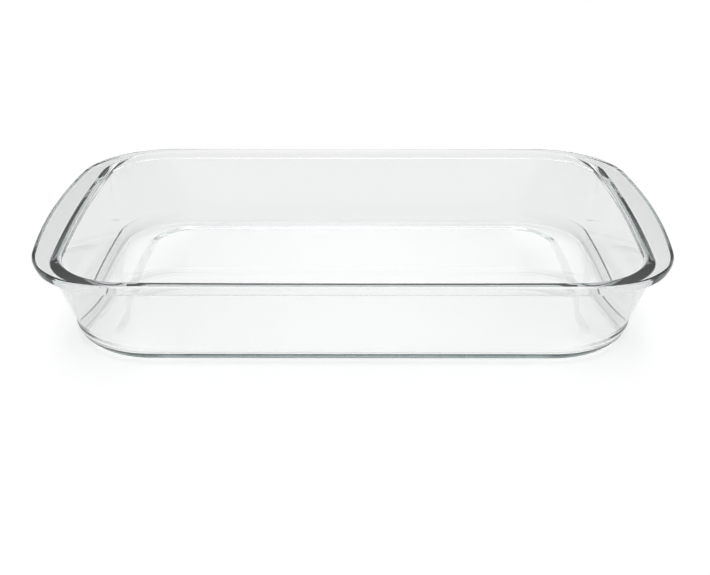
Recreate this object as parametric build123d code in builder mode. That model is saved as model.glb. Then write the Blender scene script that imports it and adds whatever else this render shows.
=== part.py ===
from build123d import *
import os
from math import atan2, degrees, radians, sqrt, tan

# A rectangular baking dish of clear pressed glass, made in one pressing. Four
# walls slope up from a flat floor to a thick rounded rim, and at both ends the
# rim runs out into a flat handle with a bowed edge. Millimetres, Z up, X along
# the dish, origin under the middle of the foot.

# Overall size.
overall_length = 400.0
overall_width = 246.0
overall_height = 55.0

# The rim all round, and the handles that it runs out into at the ends. The rim's
# inner edge is the mouth, and all outlines below are set out from it.
handle_reach = 20.8
side_rim_reach = 6.6
handle_corner_radius = 59.0
handle_bow_radius = 531.0
mouth_corner_radius = 45.5
mouth_bow_radius = 1115.0
rim_depth = 6.7
rim_face_set_in = 1.4
parting_depth = 2.2
rim_upper_edge_radius = 1.6
rim_lower_edge_radius = 0.9
mouth_edge_radius = 2.6

# The outside of the walls, from the shoulder under the rim to the base. The
# lowest band, the foot, leans the same all round and a little less than the walls.
end_shoulder_reach = 5.8
side_shoulder_reach = 4.4
shoulder_corner_radius = 46.0
end_base_set_in = 5.7
side_base_set_in = 5.4
base_corner_radius = 52.0
foot_height = 11.5
foot_draft = 11.0
base_edge_radius = 4.0

# The inside: walls that lean the same along sides and ends, and a level floor with
# rounder corners than the mouth, as those of the base are.
floor_thickness = 4.0
inner_draft = 10.2
floor_corner_radius = 47.0
floor_edge_radius = 5.0

# The underside: a shallow panel with a sloping edge, so that the dish stands on a ring.
panel_rise = 0.8
panel_slope_reach = 2.0
end_ring_width = 21.5
side_ring_width = 15.8
panel_corner_radius = 36.0

# How far a cut runs past the face that it opens.
overrun = 2.0
# How near an edge lies to a level to count as being at it.
level_tolerance = 0.01

rim_top = overall_height
rim_underside = rim_top - rim_depth
mouth_length = overall_length - 2 * handle_reach
mouth_width = overall_width - 2 * side_rim_reach
shoulder_length = mouth_length + 2 * end_shoulder_reach
shoulder_width = mouth_width + 2 * side_shoulder_reach
base_length = mouth_length - 2 * end_base_set_in
base_width = mouth_width - 2 * side_base_set_in
panel_length = base_length - 2 * end_ring_width
panel_width = base_width - 2 * side_ring_width


def bowed_rectangle(length, width, corner_radius, bow_radius):
    """Draws a rectangle with straight long sides, bowed ends and round corners, all tangent."""
    bow_centre = length / 2 - bow_radius
    corner_y = width / 2 - corner_radius
    corner_x = bow_centre + sqrt((bow_radius - corner_radius) ** 2 - corner_y**2)
    bow_angle = degrees(atan2(corner_y, corner_x - bow_centre))
    corner_angle = 90 - bow_angle
    with BuildLine() as outline:
        Line((-corner_x, width / 2), (corner_x, width / 2))
        CenterArc((corner_x, corner_y), corner_radius, 90, -corner_angle)
        CenterArc((bow_centre, 0), bow_radius, bow_angle, -2 * bow_angle)
        CenterArc((corner_x, -corner_y), corner_radius, -bow_angle, -corner_angle)
        Line((corner_x, -width / 2), (-corner_x, -width / 2))
        CenterArc((-corner_x, -corner_y), corner_radius, 270, -corner_angle)
        CenterArc((-bow_centre, 0), bow_radius, 180 + bow_angle, -2 * bow_angle)
        CenterArc((-corner_x, corner_y), corner_radius, 180 - bow_angle, -corner_angle)
    make_face(outline.edges())


def grown(length, width, corner_radius, bow_radius, by):
    """Sizes of the outline that runs the same distance outside another one."""
    return length + 2 * by, width + 2 * by, corner_radius + by, bow_radius + by


def drawn_on(lower, upper, share):
    """Sizes of an outline drawn on past the upper one, by a share of the way between the two."""
    return [high + (high - low) * share for low, high in zip(lower, upper)]


def edges_at(part, level):
    """Edges of a part that lie in one level plane."""
    return part.edges().filter_by_position(
        Axis.Z, level - level_tolerance, level + level_tolerance
    )


def top_face(part):
    """The level face on top of a part."""
    return part.faces().sort_by(Axis.Z)[-1]


mouth = (mouth_length, mouth_width, mouth_corner_radius, mouth_bow_radius)
handles = (overall_length, overall_width, handle_corner_radius, handle_bow_radius)
shoulder = (shoulder_length, shoulder_width, shoulder_corner_radius, mouth_bow_radius)
base = (base_length, base_width, base_corner_radius, mouth_bow_radius)
foot = grown(*base, by=foot_height * tan(radians(foot_draft)))
panel = (panel_length, panel_width, panel_corner_radius, mouth_bow_radius)

# What the plunger leaves: the hollow of the dish, with a round foot to its walls.
# It is drawn on past the rim along the same slope.
inner_depth = rim_top - floor_thickness
floor_set_in = inner_depth * tan(radians(inner_draft))
floor_length = mouth_length - 2 * floor_set_in
floor_width = mouth_width - 2 * floor_set_in
floor = (floor_length, floor_width, floor_corner_radius, mouth_bow_radius)
with BuildPart(mode=Mode.PRIVATE) as hollow:
    with BuildSketch(Plane.XY.offset(floor_thickness)):
        bowed_rectangle(*floor)
    with BuildSketch(Plane.XY.offset(rim_top + overrun)):
        bowed_rectangle(*drawn_on(floor, mouth, overrun / inner_depth))
    loft(ruled=True)
    fillet(edges_at(hollow, floor_thickness), floor_edge_radius)

# Rim and handles in one slab, rounded along its lower edge. It is widest where
# the mould parts, and below that its outer face leans in, as it has to leave the
# mould.
parting_level = rim_top - parting_depth
with BuildPart(mode=Mode.PRIVATE) as rim:
    with BuildSketch(Plane.XY.offset(rim_underside)):
        bowed_rectangle(*grown(*handles, by=-rim_face_set_in))
    with BuildSketch(Plane.XY.offset(parting_level)):
        bowed_rectangle(*handles)
    loft(ruled=True)
    with BuildSketch(Plane.XY.offset(parting_level)):
        bowed_rectangle(*handles)
    extrude(amount=parting_depth)
    fillet(edges_at(rim, rim_underside), rim_lower_edge_radius)

# The dish: walls and base, solid at first, with the rounded edge that it stands
# by. The walls go straight on up inside the rim, so that the two are one. Then the
# hollow is taken out, the two edges of the rim's level top are rounded, and a
# shallow panel goes into the underside.
with BuildPart() as glass_dish:
    with BuildSketch():
        bowed_rectangle(*base)
    with BuildSketch(Plane.XY.offset(foot_height)):
        bowed_rectangle(*foot)
    loft(ruled=True)
    fillet(edges_at(glass_dish, 0), base_edge_radius)
    with BuildSketch(Plane.XY.offset(foot_height)):
        bowed_rectangle(*foot)
    with BuildSketch(Plane.XY.offset(rim_underside)):
        bowed_rectangle(*shoulder)
    loft(ruled=True)
    with BuildSketch(Plane.XY.offset(rim_underside)):
        bowed_rectangle(*shoulder)
    extrude(amount=rim_depth)
    add(rim.part)
    add(hollow.part, mode=Mode.SUBTRACT)
    fillet(top_face(glass_dish).inner_wires()[0].edges(), mouth_edge_radius)
    fillet(top_face(glass_dish).outer_wire().edges(), rim_upper_edge_radius)
    with BuildSketch():
        bowed_rectangle(*panel)
    with BuildSketch(Plane.XY.offset(panel_rise)):
        bowed_rectangle(*grown(*panel, by=-panel_slope_reach))
    loft(ruled=True, mode=Mode.SUBTRACT)

glass_dish.part.label = "glass_dish"

print("glass volume, cubic millimetres:", round(glass_dish.part.volume))
print("size:", glass_dish.part.bounding_box().size)

os.makedirs("parts", exist_ok=True)
export_step(glass_dish.part, "parts/glass_dish.step")
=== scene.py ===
# %% [markdown]
# # A lasagna dish of clear pressed glass
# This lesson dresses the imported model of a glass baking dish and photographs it
# on a white table. The dish is one pressing: a flat floor, four leaning walls, a
# thick rim and two flat handles. Clear glass shows nothing of its own. It shows
# what stands behind and around it, bent by its shape, so most of the work here is
# an exact, smooth shape and a studio for it to bend.

from math import acos, asin, cos, dist, pi, radians, sin, tan

import bpy
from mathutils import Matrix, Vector


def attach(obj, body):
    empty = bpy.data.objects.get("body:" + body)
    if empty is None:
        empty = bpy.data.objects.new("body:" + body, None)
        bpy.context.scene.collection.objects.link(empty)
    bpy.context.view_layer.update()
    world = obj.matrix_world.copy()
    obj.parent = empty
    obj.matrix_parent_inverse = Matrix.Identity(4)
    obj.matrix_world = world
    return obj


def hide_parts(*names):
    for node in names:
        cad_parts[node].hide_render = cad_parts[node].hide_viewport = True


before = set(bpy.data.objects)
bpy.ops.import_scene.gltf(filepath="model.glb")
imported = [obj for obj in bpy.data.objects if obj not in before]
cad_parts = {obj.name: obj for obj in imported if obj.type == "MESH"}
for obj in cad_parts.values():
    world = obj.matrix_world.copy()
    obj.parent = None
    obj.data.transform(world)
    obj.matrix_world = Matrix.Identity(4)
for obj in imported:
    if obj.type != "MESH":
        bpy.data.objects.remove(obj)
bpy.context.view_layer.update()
mm = 0.001

# %% [markdown]
# ## The camera
# The photograph was taken from in front of a long side, looking down at about 25
# degrees, with a lens a little longer than normal. The two ends of the dish run
# together towards the back at a rate that only one distance gives. The camera is
# set first, because every later choice is judged through it. It is aimed at the
# front rim by the direction between two points, which is easier to read than
# three turns.

# %% Set the camera
camera_place = Vector((3.1 * mm, -711.8 * mm, 332.4 * mm))
camera_target = Vector((1.6 * mm, -125.0 * mm, 55.4 * mm))

lens = bpy.data.cameras.new("camera")
lens.lens = 58.16
lens.sensor_width = 36.0
camera = bpy.data.objects.new("camera", lens)
bpy.context.scene.collection.objects.link(camera)
camera.location = camera_place
camera.rotation_euler = (camera_target - camera_place).to_track_quat("-Z", "Y").to_euler()
bpy.context.scene.camera = camera
print("from the camera to the front rim:", round((camera_target - camera_place).length, 3), "m")

# %% [markdown]
# ## The outline
# Seen from above, the rim, the walls, the floor and the foot all share one kind
# of outline: straight long sides, round corners and ends that bow out a little.
# It could be drawn as a curve and traced. One helper that gives the points of such
# an outline, always the same number of them in the same order, serves better here:
# any two outlines can then be joined point by point.

# %% Points of a bowed rectangle
side_steps = 16
corner_steps = 28
end_steps = 24


def arc(centre_x, centre_y, radius, start, turn, steps):
    """Points along an arc, without its last one."""
    angles = [start + turn * step / steps for step in range(steps)]
    return [(centre_x + radius * cos(angle), centre_y + radius * sin(angle)) for angle in angles]


def outline(length, width, corner, bow):
    """Closed outline, counterclockwise, from where the front right corner ends."""
    bow_x = length / 2 - bow
    corner_y = width / 2 - corner
    lean = asin(corner_y / (bow - corner))
    corner_x = bow_x + (bow - corner) * cos(lean)
    half = arc(bow_x, 0, bow, -lean, 2 * lean, end_steps)
    half += arc(corner_x, corner_y, corner, lean, pi / 2 - lean, corner_steps)
    half += [(corner_x * (1 - 2 * step / side_steps), width / 2) for step in range(side_steps)]
    half += arc(-corner_x, corner_y, corner, pi / 2, pi / 2 - lean, corner_steps)
    return half + [(-x, -y) for x, y in half]


def grown(sizes, by):
    """The outline that runs the same distance outside another one."""
    length, width, corner, bow = sizes
    return (length + 2 * by, width + 2 * by, corner + by, bow + by)


print("points in one outline:", 2 * (end_steps + 2 * corner_steps + side_steps))

# %% [markdown]
# ## The section
# Cut across, the glass is a line that runs from the middle of the underside over
# the foot, up the outside of the wall, round the rim, and down the inside to the
# middle of the floor. Each bend in that line is an outline at a height. The sizes
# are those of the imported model, in millimetres: length, width, corner radius and
# the radius of the bowed ends. Only the handles are a tenth of a millimetre
# shorter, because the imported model's facets cut that much off its bowed ends.

# %% Outlines of the section
height = 55.0
floor_height = 4.0
rim_underside = 48.3
foot_height = 11.5
panel_rise = 0.8
inner_lean = radians(10.2)
foot_lean = radians(11.0)
end_bow = 1115.0
floor_corner = 47.0

handles = (399.9, 246.0, 59.0, 531.0)
mouth = (358.4, 232.8, 45.5, end_bow)
shoulder = (370.0, 241.6, 46.0, end_bow)
base = (347.0, 222.0, 52.0, end_bow)
foot = grown(base, foot_height * tan(foot_lean))
panel = (304.0, 190.4, 36.0, end_bow)

floor_set_in = (height - floor_height) * tan(inner_lean)
floor = (mouth[0] - 2 * floor_set_in, mouth[1] - 2 * floor_set_in, floor_corner, end_bow)
print("foot:", [round(size, 1) for size in foot], "floor:", [round(size, 1) for size in floor])

# %% [markdown]
# The rim isn't the same all round. Along the sides it is a narrow bead with a
# crisp outer edge. Towards the handles it widens, and the mould parts lower down,
# so that its edge is softer for the hand. Each point of the outline therefore gets
# a share, from 0 where the rim is narrow to 1 where it is a handle. It is read from
# the width of the rim at that point, so it needs no list of places by hand.

# %% How much of a handle each point is
narrowest_rim = 6.8
full_handle = 20.0


def handle_share(rim_width):
    """Share of a handle in the rim, eased at both ends."""
    share = (rim_width - narrowest_rim) / (full_handle - narrowest_rim)
    share = max(0.0, min(1.0, share))
    return share * share * (3 - 2 * share)


shares = [handle_share(dist(out, edge)) for out, edge in zip(outline(*handles), outline(*mouth))]


def side_to_handle(side, handle):
    """A value for each point, from that of the sides to that of the handles."""
    return [side + (handle - side) * share for share in shares]


print("points that are all handle:", sum(share == 1 for share in shares))

# %% [markdown]
# Now the bends in order. Pressed glass has no sharp edge, so each bend also has a
# radius. These radii matter more than any other number here: a round edge bends
# the whole room into one thin line, and the width of that line is set by them.
#
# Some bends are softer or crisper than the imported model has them, by fractions of
# a millimetre in most places. Underneath, the slope of the panel is long and round,
# the edge that the dish stands by is rounded in two steps, and a very shallow
# groove runs along the top of the foot, where the mould's base plate met its walls.
# The lower edge of the rim is rounder, and its upper edges and the line where the
# mould parts change from the sides to the handles.

# %% How far the bends stand off their outlines, and the edges that change
underside_set_in = 20.0
panel_slope_reach = 6.0
base_edge_set_in = 3.3
base_edge_set_out = 0.33
base_edge_height = 4.0
groove_reach_below = 2.5
groove_middle_below = 0.5
groove_reach_above = 2.0
groove_depth = 0.2
groove_run_out = 0.5
rim_face_set_in = 1.35
floor_face_set_in = 30.0

parting_level = side_to_handle(height - 1.2, height - 3.0)
rim_edge_radius = side_to_handle(0.4, 1.2)
mouth_edge_radius = side_to_handle(3.2, 2.6)
rim_edges = [round(radius, 1) for radius in (min(rim_edge_radius), max(rim_edge_radius))]
print("upper edge of the rim, sides and handles, in millimetres:", rim_edges)

# %% The bends, from under the floor round to its top
# Each bend: its outline, its height, its radius and the steps of its rounding.
bends = [
    # The underside: its level middle, the slope of the panel and the ring round it.
    (grown(panel, -underside_set_in), panel_rise, 0.0, 0),
    (grown(panel, -panel_slope_reach), panel_rise, 12.0, 8),
    (panel, 0.0, 12.0, 8),
    # The edge that the dish stands by, in two steps.
    (grown(base, -base_edge_set_in), 0.0, 3.0, 12),
    (grown(base, base_edge_set_out), base_edge_height, 3.0, 10),
    # The shallow groove along the top of the foot.
    (foot, foot_height - groove_reach_below, 1.5, 5),
    (grown(foot, -groove_depth), foot_height - groove_middle_below, 1.0, 5),
    (grown(foot, groove_run_out), foot_height + groove_reach_above, 1.5, 5),
    # The rim: where the wall meets it, its lower edge, where the mould parts, its
    # upper edge, and the edge of the mouth.
    (shoulder, rim_underside, 0.5, 6),
    (grown(handles, -rim_face_set_in), rim_underside, 1.7, 8),
    (handles, parting_level, 0.5, 5),
    (handles, height, rim_edge_radius, 12),
    (mouth, height, mouth_edge_radius, 12),
    # The floor: its round edge and its level middle.
    (floor, floor_height, 4.6, 16),
    (grown(floor, -floor_face_set_in), floor_height, 0.0, 0),
]
print("bends in the section:", len(bends))

# %% [markdown]
# A bend is rounded by an arc that touches the line before it and the line after
# it. The bevel modifier could do this too. Worked out point by point the arc is
# exact, its radius may change along the rim, and its steps are as fine as clear
# glass needs: each facet would show as a bent line in it.

# %% Round one bend
def rounded(before, bend, after, radius, steps):
    """Points of the arc that rounds one bend."""
    towards_before = (before - bend).normalized()
    towards_after = (after - bend).normalized()
    half_angle = acos(max(-1, min(1, towards_before.dot(towards_after)))) / 2
    centre = bend + (towards_before + towards_after).normalized() * radius / sin(half_angle)
    start = bend + towards_before * radius / tan(half_angle) - centre
    end = bend + towards_after * radius / tan(half_angle) - centre
    turn = pi - 2 * half_angle
    return [
        centre + (start * sin(turn * (1 - share)) + end * sin(turn * share)) / sin(turn)
        for share in [step / steps for step in range(steps + 1)]
    ]


square_corner = rounded(Vector((0, 0, 9)), Vector((0, 0, 0)), Vector((9, 0, 0)), 3.0, 2)
print("middle of a square corner, rounded:", [round(v, 2) for v in square_corner[1]])

# %% [markdown]
# The section is now run round the dish. One sweep along a curve would keep the
# same section everywhere, and this one changes along the rim. So each point of the
# outlines gets a section of its own, with its own heights and radii, and all of
# them have the same number of points.

# %% Run the section round the dish
def for_each_point(value):
    """A value for each point of the outline: one number is the same all round."""
    return [value] * len(shares) if isinstance(value, float) else value


rings = [outline(*sizes) for sizes, _, _, _ in bends]
heights = [for_each_point(level) for _, level, _, _ in bends]
radii = [for_each_point(radius) for _, _, radius, _ in bends]

sections = []
for point in range(len(shares)):
    line = [Vector((*ring[point], level[point])) for ring, level in zip(rings, heights)]
    section = [line[0]]
    for place in range(1, len(bends) - 1):
        section += rounded(*line[place - 1 : place + 2], radii[place][point], bends[place][3])
    sections.append(section + [line[-1]])
print("sections:", len(sections), "points in each:", len(sections[0]))

# %% [markdown]
# ## The skin
# Neighbouring sections are joined by strips of four-sided faces, and two large
# faces close the middle of the underside and of the floor. The faces are shaded
# smooth, with normals weighted by their area, so that the level faces stay level
# right up to their rounded edges.

# %% Skin the dish
around = len(sections)
along = len(sections[0])
vertices = [section[step] * mm for step in range(along) for section in sections]
faces = [
    (
        step * around + point,
        step * around + (point + 1) % around,
        (step + 1) * around + (point + 1) % around,
        (step + 1) * around + point,
    )
    for step in range(along - 1)
    for point in range(around)
]
faces.append(tuple(reversed(range(around))))
faces.append(tuple(range((along - 1) * around, along * around)))

dish_mesh = bpy.data.meshes.new("pressed_dish")
dish_mesh.from_pydata(vertices, [], faces)
dish_mesh.shade_smooth()
dish = bpy.data.objects.new("pressed_dish", dish_mesh)
bpy.context.scene.collection.objects.link(dish)
even_shading = dish.modifiers.new("even_shading", "WEIGHTED_NORMAL")
even_shading.mode = "FACE_AREA"
even_shading.weight = 50
print("faces in the skin:", len(faces))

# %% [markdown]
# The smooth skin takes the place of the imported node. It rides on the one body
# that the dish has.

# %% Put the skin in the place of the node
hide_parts("glass_dish")
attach(dish, "root")
print("skin in millimetres:", [round(side / mm, 2) for side in dish.dimensions])

# %% [markdown]
# ## The glass
# Clear pressed glass bends light like a window pane. Where light runs a long way
# inside it, in the rim and along the foot, a grey green shows. A tinted surface
# would colour thin and thick places alike, so the colour is put in the volume,
# where it deepens with the way that the light has come.

# %% Mix the glass
def add_node(tree, kind, **settings):
    """A node with some of its sockets set, by their names."""
    node = tree.nodes.new(kind)
    for name, value in settings.items():
        node.inputs[name.replace("_", " ")].default_value = value
    return node


glass = bpy.data.materials.new("clear_glass")
glass.use_nodes = True
recipe = glass.node_tree
recipe.nodes.clear()

clear_body = add_node(recipe, "ShaderNodeBsdfPrincipled", Base_Color=(1, 1, 1, 1), Roughness=0.0)
clear_body.inputs["IOR"].default_value = 1.51
clear_body.inputs["Transmission Weight"].default_value = 1.0
tint = add_node(recipe, "ShaderNodeVolumeAbsorption", Color=(0.46, 0.54, 0.53, 1), Density=13.0)
result = recipe.nodes.new("ShaderNodeOutputMaterial")
recipe.links.new(clear_body.outputs["BSDF"], result.inputs["Surface"])
recipe.links.new(tint.outputs["Volume"], result.inputs["Volume"])
dish_mesh.materials.append(glass)
print("nodes in the glass:", len(recipe.nodes))

# %% [markdown]
# The plunger leaves the inside a little uneven. The points of the skin could be
# moved for it, but clear glass would then show each of them. A very shallow noise
# tilts the normals by a fraction of a degree instead, enough to loosen the lines
# along the floor.

# %% Leave the pressing a little uneven
waves_per_metre = 25.0
depth_of_waves = 0.06 * mm

place_on_dish = recipe.nodes.new("ShaderNodeTexCoord")
waves = add_node(recipe, "ShaderNodeTexNoise", Scale=waves_per_metre, Detail=0.0)
unevenness = add_node(recipe, "ShaderNodeBump", Strength=1.0, Distance=depth_of_waves)
recipe.links.new(place_on_dish.outputs["Object"], waves.inputs["Vector"])
recipe.links.new(waves.outputs["Fac"], unevenness.inputs["Height"])
recipe.links.new(unevenness.outputs["Normal"], clear_body.inputs["Normal"])
print("waves about", round(1 / waves_per_metre / mm), "mm long")

# %% [markdown]
# ## The table
# The dish stands on a seamless white table. A sheet that curves up behind the dish
# is the usual way to have no edge in view. A flat one that reaches 40 m out does
# the same here, and it looks alike from every side.

# %% Lay the table
reach = 40.0
below_foot = -0.2 * mm
corners_of_table = [(-reach, -reach), (reach, -reach), (reach, reach), (-reach, reach)]

table_mesh = bpy.data.meshes.new("table")
table_mesh.from_pydata([(x, y, below_foot) for x, y in corners_of_table], [], [(0, 1, 2, 3)])
table = bpy.data.objects.new("table", table_mesh)
bpy.context.scene.collection.objects.link(table)
print("table laid,", 2 * reach, "m wide")

# %% [markdown]
# Part of the table's white is light of its own, as on the lit tables that
# glassware is photographed on, and the rest comes from the room, so the dish still
# casts its pale shadow round the foot. The light of its own is given only to rays
# that look at the table. Those that come by way of the glass get a smaller share,
# so that the floor of the dish comes out a shade darker than the table beside it.

# %% Give the table its white and its light
table_white = 0.97
own_light = 0.335
share_by_way_of_glass = 0.6

white_table = bpy.data.materials.new("white_table")
white_table.use_nodes = True
table_mesh.materials.append(white_table)
table_tree = white_table.node_tree
surface = table_tree.nodes["Principled BSDF"]
surface.inputs["Base Color"].default_value = (table_white, table_white, table_white, 1)
surface.inputs["Roughness"].default_value = 0.9
surface.inputs["Specular IOR Level"].default_value = 0.0
surface.inputs["Emission Color"].default_value = (1, 1, 1, 1)


def worked_out(tree, operation, *terms):
    """A math node whose terms are numbers or the results of other nodes."""
    node = tree.nodes.new("ShaderNodeMath")
    node.operation = operation
    for term, socket in zip(terms, node.inputs):
        if isinstance(term, float):
            socket.default_value = term
        else:
            tree.links.new(term, socket)
    return node.outputs[0]


looks = table_tree.nodes.new("ShaderNodeLightPath").outputs
by_glass = worked_out(table_tree, "MAXIMUM", looks["Is Glossy Ray"], looks["Is Transmission Ray"])
glass_share = worked_out(table_tree, "MULTIPLY", by_glass, share_by_way_of_glass)
any_look = worked_out(table_tree, "ADD", looks["Is Camera Ray"], glass_share)
table_light = worked_out(table_tree, "MULTIPLY", any_look, own_light)
table_tree.links.new(table_light, surface.inputs["Emission Strength"])
print("nodes in the table:", len(table_tree.nodes))

# %% [markdown]
# ## The studio
# Glass is lit by what surrounds it. Overhead hangs one large soft panel, a little
# brighter towards the back, that fades towards the horizon and ends well before
# the walls at both sides. The rim and the foot find their dark lines in what it
# leaves unlit. A few area lamps could stand for the panel, but glass would show
# their hard edges, so the panel is painted on the world, where its light can fade
# out softly.

# %% How bright the panel is, from the horizon up
studio = bpy.data.worlds.new("studio")
studio.use_nodes = True
bpy.context.scene.world = studio
room = studio.node_tree

direction = room.nodes.new("ShaderNodeTexCoord")
parts = room.nodes.new("ShaderNodeSeparateXYZ")
room.links.new(direction.outputs["Generated"], parts.inputs[0])

# Each stop: how far up the direction points, with 1 straight up, and how bright it is.
at_the_horizon = 0.04
further_up = {0.139: 0.25, 0.276: 0.45, 0.438: 0.66, 0.643: 0.86, 0.766: 0.94}

rise = room.nodes.new("ShaderNodeValToRGB")
room.links.new(parts.outputs["Z"], rise.inputs[0])
rise.color_ramp.elements[0].color = (at_the_horizon, at_the_horizon, at_the_horizon, 1)
for level, value in further_up.items():
    rise.color_ramp.elements.new(level).color = (value, value, value, 1)
print("stops in the rise:", len(rise.color_ramp.elements))

# %% [markdown]
# The panel is brighter to the back and ends to the sides. A direction leaves the
# panel where it leans far enough to the side for its height, so the one part is
# divided by the other, and the light fades out smoothly as that slope grows.

# %% Work out the panel and light the room
more_to_the_back = 0.4
hardly_up = 0.001
end_slope = 1.1
panel_strength = 1.40
rest_of_room = 0.10


def fading(measure, start, end, first, last):
    """A smooth change from the first value to the last, while a measure goes from start to end."""
    node = room.nodes.new("ShaderNodeMapRange")
    node.interpolation_type = "SMOOTHSTEP"
    node.inputs["From Min"].default_value = start
    node.inputs["From Max"].default_value = end
    node.inputs["To Min"].default_value = first
    node.inputs["To Max"].default_value = last
    room.links.new(measure, node.inputs["Value"])
    return node.outputs[0]


to_the_back = worked_out(room, "MULTIPLY_ADD", parts.outputs["Y"], more_to_the_back, 1.0)
sideways = worked_out(room, "ABSOLUTE", parts.outputs["X"])
upwards = worked_out(room, "MAXIMUM", parts.outputs["Z"], hardly_up)
slope = worked_out(room, "DIVIDE", sideways, upwards)
end_of_panel = fading(slope, 0.0, end_slope, 1.0, 0.0)

fore_and_aft = worked_out(room, "MULTIPLY", rise.outputs[0], to_the_back)
panel_light = worked_out(room, "MULTIPLY", fore_and_aft, end_of_panel)
room_light = worked_out(room, "MULTIPLY_ADD", panel_light, panel_strength, rest_of_room)
print("nodes for the panel:", len(room.nodes))

# %% [markdown]
# Round the table stands a low white wall, about eight degrees high as the dish
# sees it, with a soft upper edge. It hardly lights the table, but through the far
# side of the glass it keeps the walls pale, and in low views it is the background.
# It could be a mesh round the table. In the world it takes no room, and it is the
# same height from wherever the camera looks.

# %% Put up the low white wall
wall_white = 0.97
wall_fades_from = 0.14
wall_ends_at = 0.22

wall_light = fading(parts.outputs["Z"], wall_fades_from, wall_ends_at, wall_white, 0.0)
all_light = worked_out(room, "MAXIMUM", room_light, wall_light)
room.links.new(all_light, room.nodes["Background"].inputs["Strength"])
room.nodes["Background"].inputs["Color"].default_value = (1, 1, 1, 1)
print("nodes in the room:", len(room.nodes))

# %% [markdown]
# ## How the light is followed
# In a thick glass rim light bounces many times before it comes out, so the paths
# are let run long. The filter that blurs light after a rough surface is switched
# off: with it, the table under clear glass would come out far too dark. Colours
# are shown as they are.

# %% Set the light paths and the view
most_bounces = 24

paths = bpy.context.scene.cycles
paths.max_bounces = most_bounces
paths.glossy_bounces = most_bounces
paths.transmission_bounces = most_bounces
paths.blur_glossy = 0.0
bpy.context.scene.view_settings.view_transform = "Standard"
print("bounces:", paths.max_bounces)
